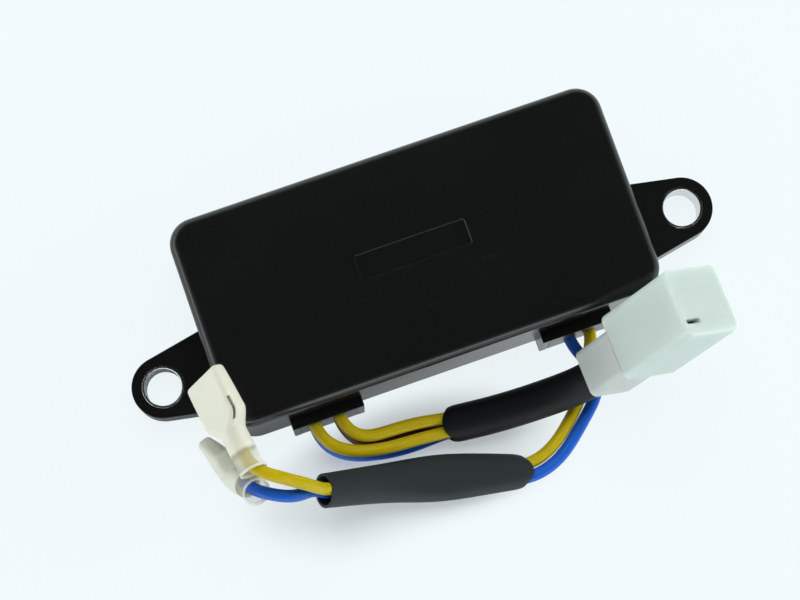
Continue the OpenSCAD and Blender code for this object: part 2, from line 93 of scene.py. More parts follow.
BRUSH_WIRE_STARTS = {
    "brush_yellow_wire": (
        (28, -19.4, 5.1), (25.9, -21.8, 4.8), (24.4, -24.4, 1.9), (23.9, -27, 1.3), (20.5, -30.2, 1.3),
        (14.6, -35.3, 1.7),
    ),
    "brush_blue_wire": (
        (24.2, -19.6, 3.4), (26.6, -22, 1.4), (27.7, -25.2, 1.3), (25.7, -29, 1.3), (21.7, -32.4, 1.3),
        (14.6, -38.2, 1.8),
    ),
}
BRUSH_WIRE_ENDS = {
    "brush_yellow_wire": ((-33.8, -27.8, 22.6), (-36, -26.6, 21.6), (-36.4, -26, 24.3)),
    "brush_blue_wire": ((-32.2, -28.6, 13.6), (-36.3, -29.8, 19.2), (-38.6, -28.5, 20.5)),
}

# Spread over which the brush leads are eased, as a share of the harness's own
BRUSH_EASING = 1.25

# Ends of the wires in millimetres: columns from an outlet's middle by the wire's side, rows by its layer,
# and the points on the housing's axis where the sleeve enters
LEFT_OUTLET_COLUMNS = {-1: 1.9, 1: -3}
RIGHT_OUTLET_COLUMNS = {1: 3.3, -1: -1.4}
OUTLET_ROWS = {1: 8.8, -1: 4.6}
SKIRT_ENTRY = (-1, 6)

# Ends of the wires in metres: in the resin, past the skirt, at the contacts and before a boot's shoulder
TAIL_LENGTH = 2 * MM
FAN_OUT = 0.6 * MM
CONTACT_CRIMP = 16 * MM
SPADE_CRIMP = 2 * MM

# Start of a sleeve: the stretch that changes, how far its sides fall back and the share of the wall it loses
SLEEVE_END = 4.2 * MM
SLEEVE_FALL = 1.7 * MM
SLEEVE_THINNED = 0.7

# Connector: corner radii of its sections, radii of its edges, the dish in its face, and its slots and dents
HOLLOW_CORNER = 1 * MM
SKIRT_CORNER = 1.4 * MM
BODY_CORNER = 1.6 * MM
FACE_CORNER = 0.8 * MM
LEAST_CORNER = 0.2 * MM
BACK_EDGE = 0.3 * MM
FRONT_EDGE = 0.5 * MM
DISH_WIDTH = 1.2 * MM
SLOT_ASIDE = 0.5 * MM
SLOT_HALF_WIDTH = 0.45 * MM
SLOT_HALF_HEIGHT = 1.8 * MM
SLOT_CORNER = 0.3 * MM
SLOT_DEPTHS = (1.6 * MM, 0.03 * MM, 0.03 * MM, 0.03 * MM)

# Boots: the lip around the wire, the rounding and the pinch of the mouth, and the slit from its own middle
LIP_HEIGHT = 0.2 * MM
LIP_SPREAD = 0.5 * MM
MOUTH_CLOSING = 0.35 * MM
MOUTH_EDGE = 0.7 * MM
MOUTH_PINCH = 1.2 * MM
CORNER_PINCH = 0.5 * MM
ROUND_SHARE = 0.999
SLIT_LOW = np.array([-2.1, -5.65, 1.1]) * MM
SLIT_HIGH = np.array([2.1, -2.65, 1.6]) * MM
SLIT_BACK = 8.7 * MM
SLIT_CORNER = 0.15 * MM

# Finishes of the parts that the case hides: name, colour and roughness
HIDDEN_FINISHES = {
    "board": ("board_laminate", (0.05, 0.22, 0.11), 0.5),
    "can": ("capacitor_film", (0.04, 0.06, 0.16), 0.35),
    "dip": ("dipped_coat", (0.5, 0.34, 0.05), 0.35),
    "ceramic": ("ceramic_block", (0.7, 0.69, 0.65), 0.7),
    "lacquer": ("resistor_lacquer", (0.5, 0.38, 0.24), 0.45),
    "epoxy": ("black_epoxy", (0.02, 0.02, 0.021), 0.5),
}

# Lamps: place and side in metres, the setting with their power, and whether glossy surfaces mirror them
LAMPS = {
    "right_lamp": ((0.95, -0.1, 0.42), 0.7, "key", False),
    "left_lamp": ((-0.95, -0.2, 0.42), 0.7, "fill", True),
    "top_lamp": ((0.15, 0.55, 1.05), 1.0, "top", False),
}


def distance(name, description, millimetres):
    return bpy.props.FloatProperty(
        name=name, description=description, default=millimetres * MM, subtype="DISTANCE", unit="LENGTH",
        precision=5,
    )


def angle(name, description, degrees):
    return bpy.props.FloatProperty(
        name=name, description=description, default=math.radians(degrees), subtype="ANGLE", unit="ROTATION"
    )


def colour(name, description, red, green, blue):
    return bpy.props.FloatVectorProperty(
        name=name, description=description, default=(red, green, blue), size=3, subtype="COLOR",
        min=0, max=1,
    )


def strength(name, description, value):
    return bpy.props.FloatProperty(name=name, description=description, default=value, min=0)


class RegulatorCase(bpy.types.PropertyGroup):
    """Sizes of the moulded case, its ears and its wire outlets."""

    length: distance("Length", "Length of the case", 86.6)
    width: distance("Width", "Width of the case", 41.6)
    height: distance("Height", "Height from the mounting plane to the front face", 21)
    wall: distance("Wall", "Wall thickness of the case", 2)
    corner: distance("Corner", "Radius of the upright corners", 5)
    front_round: distance("Front rounding", "Rounding around the front face", 2.5)
    shift: distance("Shift", "Distance from the line of the holes to the case's centre line", 6.2)
    recess_length: distance("Recess length", "Length of the blank recess", 22)
    recess_width: distance("Recess width", "Width of the blank recess", 5)
    recess_depth: distance("Recess depth", "Depth of the blank recess", 0.4)
    hole_spacing: distance("Hole spacing", "Distance between the two mounting holes", 107)
    ear_thickness: distance("Ear thickness", "Thickness of the ears", 6)
    ear_radius: distance("Ear radius", "Radius of the ear ends", 6.1)
    ear_taper: angle("Ear taper", "Angle that each side of an ear opens by", 11)
    eyelet_inside: distance("Eyelet inside", "Inside diameter of the steel eyelets", 7.2)
    eyelet_wall: distance("Eyelet wall", "Wall thickness of the steel eyelets", 0.55)
    outlet_spacing: distance("Outlet spacing", "Distance between the two wire outlets", 50.6)
    outlet_width: distance("Outlet width", "Outside width of an outlet hood", 14.4)
    outlet_reach: distance("Outlet reach", "Reach of an outlet hood past the wall", 2.3)
    outlet_height: distance("Outlet height", "Height of an outlet hood", 12)
    outlet_wall: distance("Outlet wall", "Wall thickness of an outlet hood", 1.6)


class RegulatorHarness(bpy.types.PropertyGroup):
    """Sizes of the wires, the sleeves and the boots."""

    wire: distance("Wire", "Outside diameter of the wires", 2.4)
    wire_pitch: distance("Wire pitch", "Distance between wires that lie side by side", 2.6)
    sleeve_radius: distance("Sleeve radius", "Outside radius of the connector's sleeve", 3.64)
    sleeve_wall: distance("Sleeve wall", "Wall thickness of the sleeves", 0.5)
    boot_length: distance("Boot length", "Length of a terminal boot", 20.5)
    boot_tube: distance("Boot tube", "Length of the round part of a boot", 9)
    boot_shoulder: distance("Boot shoulder", "Length over which a boot opens out", 2.6)
    boot_radius: distance("Boot radius", "Outside radius of the round part of a boot", 2.55)
    boot_width: distance("Boot width", "Width of a boot's mouth", 9.7)
    boot_height: distance("Boot height", "Height of a boot past its shoulder", 4)
    boot_wall: distance("Boot wall", "Wall thickness of a boot", 0.42)
    boot_corner: distance("Boot corner", "Corner radius of a boot's mouth", 1.4)
    softness: distance("Softness", "Spread over which the bends of the wires are eased", 2.4)


class RegulatorConnector(bpy.types.PropertyGroup):
    """Sizes of the connector housing."""

    length: distance("Length", "Length of the housing", 29.5)
    width: distance("Width", "Width of the housing's body", 13.4)
    height: distance("Height", "Height of the housing's body", 13.8)
    aside: distance("Aside", "Distance that the body stands aside from the skirt", 0.9)
    drop: distance("Drop", "Distance that the body stands below the skirt", 1.5)
    skirt_length: distance("Skirt length", "Length of the skirt around the sleeve", 10)
    skirt_width: distance("Skirt width", "Width of the skirt", 9.58)
    skirt_height: distance("Skirt height", "Height of the skirt", 10.8)
    skirt_wall: distance("Skirt wall", "Wall thickness of the skirt", 0.6)
    hood_depth: distance("Hood depth", "Depth of the recess around the mating face", 0.05)
    hood_wall: distance("Hood wall", "Width of the rim around the mating face", 1.2)
    channel: distance("Channel", "Side of the square channel of a contact", 3.4)
    face_wall: distance("Face wall", "Wall between a channel and the mating face", 1)
    pitch: distance("Pitch", "Distance between neighbouring contacts", 4.8)
    latch: distance("Latch", "Reach of the latch rib", 1)


class RegulatorFinish(bpy.types.PropertyGroup):
    """Colours of the finishes."""

    moulding: colour("Moulding", "Black moulded case", 0.005, 0.0055, 0.0054)
    steel: colour("Steel", "Plated steel eyelets", 0.74, 0.75, 0.76)
    resin: colour("Resin", "Cast resin", 0.012, 0.011, 0.011)
    yellow: colour("Yellow", "Yellow insulation", 0.47, 0.37, 0.001)
    blue: colour("Blue", "Blue insulation", 0.008, 0.1, 0.52)
    brown: colour("Brown", "Brown insulation", 0.1, 0.025, 0.018)
    black_sleeve: colour("Black sleeve", "Sleeve of the connector's wires", 0.0045, 0.0055, 0.006)
    grey_sleeve: colour("Grey sleeve", "Sleeve of the spade leads", 0.022, 0.029, 0.031)
    nylon: colour("Nylon", "Undyed housing", 0.5, 0.59, 0.55)
    vinyl: colour("Vinyl", "Undyed boots", 0.76, 0.775, 0.65)
    brass: colour("Brass", "Contacts and terminals", 0.75, 0.58, 0.28)


class RegulatorStage(bpy.types.PropertyGroup):
    """Camera, lamps and floor."""

    range: distance("Range", "Distance from the camera to the plane of the origin", 450)
    aside: distance("Aside", "Move of the camera to its right", -4.644)
    raised: distance("Raised", "Move of the camera upwards in its view", 0.275)
    tilt: angle("Tilt", "Tip of the view towards the wire outlets", 8.093)
    pan: angle("Pan", "Swing of the view towards the right ear", -3.394)
    roll: angle("Roll", "Roll of the view", 19.543)
    focal_pixels: strength("Focal length", "Focal length in pixels of the photograph", 2283.48)
    floor: colour("Floor", "Pale floor", 0.87, 0.945, 0.965)
    # Colour of the floor's painted glow, shown in place of part of its lit shade
    painted_glow: colour("Glow", "Plain colour that the floor shows with its light", 0.885, 0.955, 0.975)
    key: strength("Key", "Power of the lamp on the right in watts", 7.5)
    fill: strength("Fill", "Power of the lamp on the left in watts", 1.2)
    top: strength("Top", "Power of the lamp overhead in watts", 11.3)
    ambient: strength("Ambient", "Strength of the surrounding light", 4)


class RegulatorSettings(bpy.types.PropertyGroup):
    """All settings of the regulator."""

    case: bpy.props.PointerProperty(type=RegulatorCase)
    harness: bpy.props.PointerProperty(type=RegulatorHarness)
    connector: bpy.props.PointerProperty(type=RegulatorConnector)
    finish: bpy.props.PointerProperty(type=RegulatorFinish)
    stage: bpy.props.PointerProperty(type=RegulatorStage)


def settings():
    return bpy.context.scene.regulator


# Shapes


def placement(place):
    """Matrix and point of a place: turns about X, then Y, then Z, and then a move."""
    at, turn = place
    x, y, z = (math.radians(v) for v in turn)
    matrix = Matrix.Rotation(z, 3, "Z") @ Matrix.Rotation(y, 3, "Y") @ Matrix.Rotation(x, 3, "X")
    return np.array(matrix), np.array(at) * MM


def placed(points, place):
    """Points of a piece's own frame, turned and moved to its place."""
    matrix, at = placement(place)
    return np.asarray(points) @ matrix.T + at


def moved(shells, place):
    """Shells turned and moved to a place."""
    return [(placed(points, place), faces) for points, faces in shells]


def running_length(path):
    """Distance along a path at each of its points."""
    return np.concatenate([[0], np.cumsum(np.linalg.norm(np.diff(path, axis=0), axis=1))])


def smooth_path(points, soften):
    """Evenly spaced points on a cubic through the given ones, eased over a spread unless it is nothing.

    Each stretch is a Hermite cubic on the chord lengths, and its slope at a point is that of the parabola
    through the point and its two neighbours.
    """
    p = np.asarray(points, float)
    knots = running_length(p)
    slope = np.gradient(p, knots, axis=0)
    fine = np.linspace(0, knots[-1], 60 * len(p))
    i = np.clip(np.searchsorted(knots, fine, side="right") - 1, 0, len(p) - 2)
    span = (knots[i + 1] - knots[i])[:, None]
    t = (fine - knots[i])[:, None] / span
    curve = (
        (2 * t**3 - 3 * t**2 + 1) * p[i]
        + (t**3 - 2 * t**2 + t) * span * slope[i]
        + (3 * t**2 - 2 * t**3) * p[i + 1]
        + (t**3 - t**2) * span * slope[i + 1]
    )
    along = running_length(curve[:, :3])
    even = np.linspace(0, along[-1], max(2, round(along[-1] / PATH_STEP)) + 1)
    path = np.column_stack([np.interp(even, along, curve[:, k]) for k in range(p.shape[1])])
    return eased_path(path, soften) if soften else path


def eased_path(path, spread):
    """A path averaged along itself with a bell curve. Past each end it goes on as its own point reflection,
    so the ends stay where they are."""
    reach = int(3 * spread / PATH_STEP)
    bell = np.exp(-0.5 * (np.arange(-reach, reach + 1) * PATH_STEP / spread) ** 2)
    before = 2 * path[0] - path[reach:0:-1]
    after = 2 * path[-1] - path[-2:-reach - 2:-1]
    drawn_out = np.vstack([before, path, after])
    return np.column_stack([np.convolve(column, bell / bell.sum(), "valid") for column in drawn_out.T])


def headings(path):
    """Direction of a path at each of its points, from its neighbours."""
    heading = np.gradient(path, axis=0)
    return heading / np.linalg.norm(heading, axis=1)[:, None]


def path_frames(path):
    """Upward and sideways directions of a path: the upright with the heading's share taken out, and the
    heading crossed with it."""
    heading = headings(path)
    up = np.array([0, 0, 1.0]) - heading[:, 2:] * heading
    up /= np.linalg.norm(up, axis=1)[:, None]
    return up, np.cross(heading, up)


def path_length(path):
    """The sum of the steps of a path."""
    return float(np.linalg.norm(np.diff(path, axis=0), axis=1).sum())


def beside(path, up_by, side_by):
    """A path that runs beside another, moved along its upward and sideways directions."""
    up, side = path_frames(path)
    return path + np.reshape(up_by, (-1, 1)) * up + np.reshape(side_by, (-1, 1)) * side


def ring_angles(sides):
    """Equally spaced angles around a ring, from half a step on."""
    return 2 * np.pi * (np.arange(sides) + 0.5) / sides


def tube_grid(path, across, upward, sides):
    """Rings around a path: path + across cos(a) side + upward sin(a) up, for the angles a of a ring."""
    up, side = path_frames(path)
    a = ring_angles(sides)
    across = np.broadcast_to(across, len(path))[:, None] * np.cos(a)
    upward = np.broadcast_to(upward, len(path))[:, None] * np.sin(a)
    return path[:, None, :] + across[..., None] * side[:, None, :] + upward[..., None] * up[:, None, :]


def grid_faces(rows, columns, wrap_rows):
    """Quads between neighbouring rows and columns of a grid. Its columns close, and its rows on request."""
    i = np.arange(rows if wrap_rows else rows - 1)[:, None]
    j = np.arange(columns)[None, :]
    k = (j + 1) % columns
    m = (i + 1) % rows
    corners = [i * columns + j, i * columns + k, m * columns + k, m * columns + j]
    return np.stack(corners, axis=-1).reshape(-1, 4)


def grid_uv(rows, columns, length):
    """Surface map of a tube's quads: metres along it, and turns around it."""
    i = np.arange(rows - 1)[:, None] + np.zeros(columns)[None, :]
    j = np.zeros(rows - 1)[:, None] + np.arange(columns)[None, :]
    along = np.stack([i, i, i + 1, i + 1], axis=-1) * length / (rows - 1)
    around = np.stack([j, j + 1, j + 1, j], axis=-1) / columns
    return np.stack([along, around], axis=-1).reshape(-1, 2)


def loft(rows, wrap_rows=False):
    """A shell through rows of equally many points, closed by a flat face at each end or onto its start."""
    rows = np.asarray(rows)
    count, columns = rows.shape[:2]
    faces = grid_faces(count, columns, wrap_rows).tolist()
    if not wrap_rows:
        last = (count - 1) * columns
        faces.append(list(range(columns - 1, -1, -1)))
        faces.append(list(range(last, last + columns)))
    return rows.reshape(-1, 3), faces


def rounded_loop(length, width, radius, steps=CORNER_STEPS):
    """Points and outward directions of a rounded rectangle: four quarter circles from the lower right on."""
    quarter = np.linspace(0, np.pi / 2, steps + 1)
    turn = np.concatenate([quarter + k * np.pi / 2 for k in (-1, 0, 1, 2)])
    outward = np.column_stack([np.cos(turn), np.sin(turn)])
    corner = np.repeat([[1, -1], [1, 1], [-1, 1], [-1, -1]], steps + 1, axis=0)
    return corner * [length / 2 - radius, width / 2 - radius] + radius * outward, outward


def case_shell(case):
    """Walls, front face and rim of the case: a profile carried round the rounded outline.

    From the inside of the wall the profile goes down to the rim, out and up the wall, over a quarter circle
    at the front edge and in to the blank recess. Across an outlet the rim lies at the outlet's roof.
    """
    half = case.outlet_width / 2 - case.outlet_wall
    roof = case.outlet_height - case.outlet_wall
    edges = np.repeat([m * case.outlet_spacing / 2 + n * half for m in (-1, 1) for n in (-1, 1)], 2)
    plan, outward = rounded_loop(case.length, case.width, case.corner)
    plan = np.vstack([plan, np.column_stack([edges, np.full(8, -case.width / 2)])])
    outward = np.vstack([outward, np.tile([0, -1], (8, 1))])
    rim = np.zeros(len(plan))
    rim[-8:] = np.tile([0, roof, roof, 0], 2)
    bend = np.linspace(0, np.pi / 2, 11)
    r = case.front_round
    soft = 0.4 * MM
    above_roof = roof + 2 * MM
    insets = [case.wall, case.wall, 0, 0, 0]
    heights = [above_roof, rim, rim, above_roof, case.height - r - soft]
    insets += list(r - r * np.cos(bend)) + [r + soft]
    heights += list(case.height - r + r * np.sin(bend)) + [case.height]
    recess_corner = 0.6 * MM
    recess_shift = 0.9 * MM
    recess, _ = rounded_loop(case.recess_length, case.recess_width, recess_corner)
    low = np.column_stack([edges * case.recess_length / case.length, np.full(8, -case.recess_width / 2)])
    recess = np.vstack([recess, low]) + [0, recess_shift]
    rows = [
        np.column_stack([plan - d * outward, np.broadcast_to(z, len(plan))]) for d, z in zip(insets, heights)
    ]
    recess_floor = case.height - case.recess_depth
    rows += [np.column_stack([recess, np.full(len(plan), z)]) for z in (case.height, recess_floor)]
    return loft(np.array(rows) + [0, case.shift, 0])


def ear_shell(case, hand):
    """One ear: rings about the hole, from the hole's edge out to the ear's outline, on both faces.

    The outline is at the ear's radius around the end and on two tangents past it, up to a line in the case.
    """
    turn = np.linspace(-np.pi, np.pi, EAR_STEPS, endpoint=False)
    past = np.clip(np.abs(turn) - (np.pi / 2 - case.ear_taper), 0, 1.5)
    root = case.hole_spacing / 2 - case.length / 2 + 2 * case.wall / 3
    outline = np.minimum(case.ear_radius / np.cos(past), root / np.maximum(-np.cos(turn), 0.01))
    hole = np.full(EAR_STEPS, case.eyelet_inside / 2 + case.eyelet_wall)
    radii = np.array([hole, outline, outline, hole])
    heights = np.array([0, 0, case.ear_thickness, case.ear_thickness])[:, None] + 0 * radii
    x = hand * (case.hole_spacing / 2 + radii * np.cos(turn))
    return loft(np.stack([x, radii * np.sin(turn), heights], axis=-1), wrap_rows=True)


def outlet_shell(case, hand):
    """One outlet hood: a roof and two sides as one section, carried from inside the wall to its face."""
    w = case.outlet_width / 2
    t = case.outlet_wall
    h = case.outlet_height
    outside = [(-w, 0), (-w, h), (w, h), (w, 0)]
    section = np.array(outside + [(w - t, 0), (w - t, h - t), (t - w, h - t), (t - w, 0)])
    face = case.shift - case.width / 2 - case.outlet_reach
    rows = [
        np.column_stack([section[:, 0] + hand * case.outlet_spacing / 2, np.full(8, y), section[:, 1]])
        for y in (face + case.outlet_reach + case.wall / 2, face)
    ]
    return loft(rows)


def eyelet_shell(case, hand):
    """A steel eyelet: a slim rounded rectangle turned about the hole's axis."""
    section, _ = rounded_loop(case.eyelet_wall, case.ear_thickness, 0.45 * case.eyelet_wall, 5)
    radius = section[:, 0] + (case.eyelet_inside + case.eyelet_wall) / 2
    height = section[:, 1] + case.ear_thickness / 2
    turn = np.linspace(0, 2 * np.pi, EYELET_STEPS, endpoint=False)[:, None]
    x = radius * np.cos(turn) + hand * case.hole_spacing / 2
    rows = np.stack([x, radius * np.sin(turn), np.broadcast_to(height, x.shape)], axis=-1)
    return loft(rows, wrap_rows=True)


def sleeve_shell(path, across, upward, wall):
    """A sleeve with a wall: outer rings from end to end, and inner ones back to the start.

    Near the start the wall thins on the outside, and the sides fall back from the end by the squared cosine
    around the sleeve. Both go with the square of what is left of a short stretch."""
    near = np.clip(1 - running_length(path) / SLEEVE_END, 0, 1) ** 2
    thin = SLEEVE_THINNED * wall * near
    sideways = np.cos(ring_angles(SLEEVE_SIDES)) ** 2
    fallen = (SLEEVE_FALL * near[:, None] * sideways)[..., None] * headings(path)[:, None, :]
    outer = tube_grid(path, across - thin, upward - thin, SLEEVE_SIDES) + fallen
    inner = tube_grid(path, across - wall, upward - wall, SLEEVE_SIDES) + fallen
    return loft(np.concatenate([outer, inner[::-1]]), wrap_rows=True)


def section_rows(stations, steps=CORNER_STEPS):
    """Rounded rectangles across X, one for each station: place, width, height, corner radius and centre."""
    rows = []
    for x, width, height, radius, y, z in stations:
        section, _ = rounded_loop(width, height, radius, steps)
        rows.append(np.column_stack([np.full(len(section), x), section + [y, z]]))
    return np.array(rows)


def edge_stations(x, size, centre, radius, into):
    """Stations of a quarter circle over the edge at a section's end, from the wall to the end where it
    leads forwards, and from the end to the wall where it leads back."""
    turn = np.linspace(0, np.pi / 2, 6)[::into]
    inset = radius - radius * np.cos(turn)
    along = x - into * (radius - radius * np.sin(turn))
    width, height, corner = size
    columns = [along, width - 2 * inset, height - 2 * inset, np.maximum(corner - inset, LEAST_CORNER)]
    return [tuple(row) + centre for row in np.column_stack(columns)]


def housing_shell(c):
    """The housing: rounded rectangles from the bottom of the skirt's hollow out over its rim, along the
    skirt, over the step to the body, along it, over the front rim and down to the mating face."""
    wall = 2 * c.skirt_wall
    hollow = (c.skirt_width - wall, c.skirt_height - wall, HOLLOW_CORNER, 0, 0)
    skirt = (c.skirt_width, c.skirt_height, SKIRT_CORNER)
    body = (c.width, c.height, BODY_CORNER)
    centre = (c.aside, -c.drop)
    stations = [(c.skirt_length, *hollow), (0, *hollow)]
    stations += edge_stations(0, skirt, (0, 0), BACK_EDGE, -1)
    stations += [(c.skirt_length, *skirt, 0, 0)]
    stations += edge_stations(c.skirt_length, body, centre, BACK_EDGE, -1)
    stations += edge_stations(c.length, body, centre, FRONT_EDGE, 1)
    turn = np.linspace(0, np.pi, 9)
    dish = c.hood_depth * (1 - np.cos(turn)) / 2
    inner = c.hood_wall + DISH_WIDTH * turn / np.pi
    columns = [c.length - dish, c.width - 2 * inner, c.height - 2 * inner, 0 * turn + FACE_CORNER]
    stations += [tuple(row) + centre for row in np.column_stack(columns)]
    return loft(section_rows(stations))


def latch_shell(c):
    """The latch rib: a ramp, a flat and a slope down, as one outline with a width across it."""
    outline = np.array([(-1.5, 0), (0, -1), (9, -1), (11, -1), (11, 0)]) * MM
    outline[1:3, 1] -= c.latch
    outline += [c.length - 12 * MM, 1 * MM - c.height / 2 - c.drop]
    sides = (c.aside - 2.5 * MM, c.aside + 2.5 * MM)
    return loft([np.column_stack([outline[:, 0], np.full(5, y), outline[:, 1]]) for y in sides])


def block_shell(low, high, radius):
    """A bar along X with a rounded rectangle as its section, between two corners."""
    low, high = np.array(low), np.array(high)
    _, width, height = high - low
    _, y, z = (high + low) / 2
    return loft(section_rows([(x, width, height, radius, y, z) for x in (low[0], high[0])], 3))


def channel_shells(c):
    """The channels of the four contacts, from the skirt's hollow to the wall behind the mating face."""
    half = c.channel / 2
    end = c.length - 0.6 * MM - c.face_wall
    shells = []
    for y in (-c.pitch / 2, c.pitch / 2):
        for z in (-c.pitch / 2, c.pitch / 2):
            low, high = (c.skirt_length - 1 * MM, y - half, z - half), (end, y + half, z + half)
            shells.append(block_shell(low, high, 0.2 * MM))
    return shells


def slot_shell(c, y, z, depth):
    """A tab slot in the mating face, to a depth."""
    face = c.length - c.hood_depth
    low = (face - depth, y - SLOT_HALF_WIDTH, z - SLOT_HALF_HEIGHT)
    return block_shell(low, (face + 1 * MM, y + SLOT_HALF_WIDTH, z + SLOT_HALF_HEIGHT), SLOT_CORNER)


def boot_shell(h):
    """A boot: rounded sections that pass from a circle at the tube to a flat mouth, and back inside."""
    x = np.linspace(0, h.boot_length, BOOT_RINGS)
    t = np.clip((x - h.boot_tube + 1 * MM) / (h.boot_shoulder + 1 * MM), 0, 1)
    t = t * t * (3 - 2 * t)
    lip = LIP_HEIGHT * np.exp(-((x / LIP_SPREAD) ** 2))
    close = MOUTH_CLOSING * np.clip(1 - (h.boot_length - x) / MOUTH_EDGE, 0, 1) ** 2
    pinch = np.clip((x - h.boot_tube) / (h.boot_length - h.boot_tube), 0, 1) ** 3
    r = h.boot_radius
    width = 2 * r + t * (h.boot_width - 2 * r) + 2 * lip - 2 * close
    height = 2 * r + t * (h.boot_height - 2 * r) + 2 * lip - 2 * close - MOUTH_PINCH * pinch
    corner = ROUND_SHARE * (r + t * (h.boot_corner - r) + lip - close - CORNER_PINCH * pinch)
    outer, inner = (
        section_rows(
            np.column_stack([x, width - 2 * w, height - 2 * w, corner - ROUND_SHARE * w, 0 * x, 0 * x])
        )
        for w in (0, h.boot_wall)
    )
    return loft(np.concatenate([outer, inner[::-1]]), wrap_rows=True)


# Meshes


def shell_mesh(name, shells, uv=None):
    """One mesh from shells of points and faces: joined, merged where points meet, and turned outwards."""
    points = np.concatenate([p for p, _ in shells])
    faces = []
    first = 0
    for p, shell_faces in shells:
        faces += [[first + v for v in face] for face in shell_faces]
        first += len(p)
    mesh = bpy.data.meshes.new(name)
    mesh.from_pydata(points.tolist(), [], faces)
    if uv is not None:
        mesh.uv_layers.new(name="along_around").data.foreach_set("uv", uv.ravel())
    work = bmesh.new()
    work.from_mesh(mesh)
    bmesh.ops.remove_doubles(work, verts=work.verts, dist=MERGE_DISTANCE)
    bmesh.ops.dissolve_degenerate(work, edges=work.edges, dist=SLIVER)
    bmesh.ops.recalc_face_normals(work, faces=work.faces)
    work.to_mesh(mesh)
    work.free()
    return mesh


def combined(mesh, shells, operation):
    """A mesh with shells added to it or taken out of it as solids."""
    name = mesh.name
    body = bpy.data.objects.new("body", mesh)
    tool = bpy.data.objects.new("tool", shell_mesh("tool", shells))
    for item in (body, tool):
        bpy.context.scene.collection.objects.link(item)
    change = body.modifiers.new("change", "BOOLEAN")
    change.operation = operation
    change.solver = "EXACT"
    change.object = tool
    graph = bpy.context.evaluated_depsgraph_get()
    result = bpy.data.meshes.new_from_object(
        body.evaluated_get(graph), preserve_all_data_layers=True, depsgraph=graph
    )
    for item in (body, tool):
        old = item.data
        bpy.data.objects.remove(item)
        bpy.data.meshes.remove(old)
    result.name = name
    return result


def make_piece(name, shells, material, sharp=35, uv=None, bevel=None, added=(), cuts=()):
    """One object from shells of points and faces, with others added and cut out: shaded smooth between
    sharp edges, and finished with a bevel where one is asked for."""
    mesh = shell_mesh(name, shells, uv)
    if added:
        mesh = combined(mesh, added, "UNION")
    for tools in cuts:
        mesh = combined(mesh, tools, "DIFFERENCE")
    mesh.shade_smooth()
    mesh.set_sharp_from_angle(angle=math.radians(sharp))
    mesh.materials.clear()
    mesh.materials.append(material)
    piece = bpy.data.objects.new(name, mesh)
    bpy.context.scene.collection.objects.link(piece)
    if bevel:
        width, segments = bevel
        edge = piece.modifiers.new("edge", "BEVEL")
        edge.width = width
        edge.segments = segments
        edge.limit_method = "ANGLE"
        edge.angle_limit = math.radians(sharp)
        edge.use_clamp_overlap = True
        edge.harden_normals = True
    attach(piece, BODY)
    return piece


def make_wire(name, path, diameter, material):
    """A wire: rings of its diameter along a path, with a flat face at each end and a map of its surface."""
    rings = tube_grid(path, diameter / 2, diameter / 2, WIRE_SIDES)
    points, faces = loft(rings)
    uv = grid_uv(len(path), WIRE_SIDES, path_length(path))
    ends = np.zeros((2 * WIRE_SIDES, 2))
    return make_piece(name, [(points, faces)], material, sharp=60, uv=np.vstack([uv, ends]))


# Finishes


def feed(tree, entry, value):
    """Joins an input to a node's output, given as the node and the output's name, or sets a plain value."""
    if isinstance(value, tuple) and isinstance(value[0], bpy.types.Node):
        node, output = value
        tree.links.new(node.outputs[output], entry)
    else:
        entry.default_value = value


def feed_named(tree, node, **values):
    """Feeds a node's inputs by their names, with spaces as underscores."""
    for key, value in values.items():
        feed(tree, node.inputs[key.replace("_", " ")], value)


def add_node(tree, kind, *feeds, **values):
    """A node with its own settings, and its inputs fed in their order or by their names."""
    node = tree.nodes.new(kind)
    for key, value in values.items():
        if key.replace("_", " ") in node.inputs:
            feed_named(tree, node, **{key: value})
        else:
            setattr(node, key, value)
    for i, value in enumerate(feeds):
        feed(tree, node.inputs[i], value)
    return node


def calculated(tree, operation, *feeds):
    """The result of a sum on numbers."""
    return add_node(tree, "ShaderNodeMath", *feeds, operation=operation), "Value"


def ramp(tree, value, start, end, low, high, kind="SMOOTHSTEP"):
    """A number that goes from one value to another while a second number goes from start to end."""
    node = add_node(
        tree, "ShaderNodeMapRange", interpolation_type=kind, Value=value, From_Min=start, From_Max=end,
        To_Min=low, To_Max=high,
    )
    return node, "Result"


def range_between(tree, mask, low, high):
    """A number that runs between two values with a mask."""
    return ramp(tree, mask, 0, 1, low, high, "LINEAR")


def tone_between(tree, mask, low, high):
    """A mix of two colours by a mask. The first can be another node's."""
    if not isinstance(low[0], bpy.types.Node):
        low = (*low, 1)
    return add_node(tree, "ShaderNodeMix", data_type="RGBA", A=low, B=(*high, 1), Factor=mask), "Result"


def bump(tree, height, depth, amount):
    """A normal that follows a height."""
    return add_node(tree, "ShaderNodeBump", Height=height, Strength=amount, Distance=depth), "Normal"


def scaled(tint, by):
    """A colour made lighter or darker, up to full."""
    return tuple(min(1.0, by * v) for v in tint)


def new_group(name, inputs, outputs):
    """An empty node group with named number or vector sockets, and its two end nodes."""
    group = bpy.data.node_groups.new(name, "ShaderNodeTree")
    for label, kind, default in inputs:
        socket = group.interface.new_socket(label, in_out="INPUT", socket_type=kind)
        if default is not None:
            socket.default_value = default
    for label in outputs:
        group.interface.new_socket(label, in_out="OUTPUT", socket_type="NodeSocketFloat")
    return group, group.nodes.new("NodeGroupInput"), group.nodes.new("NodeGroupOutput")


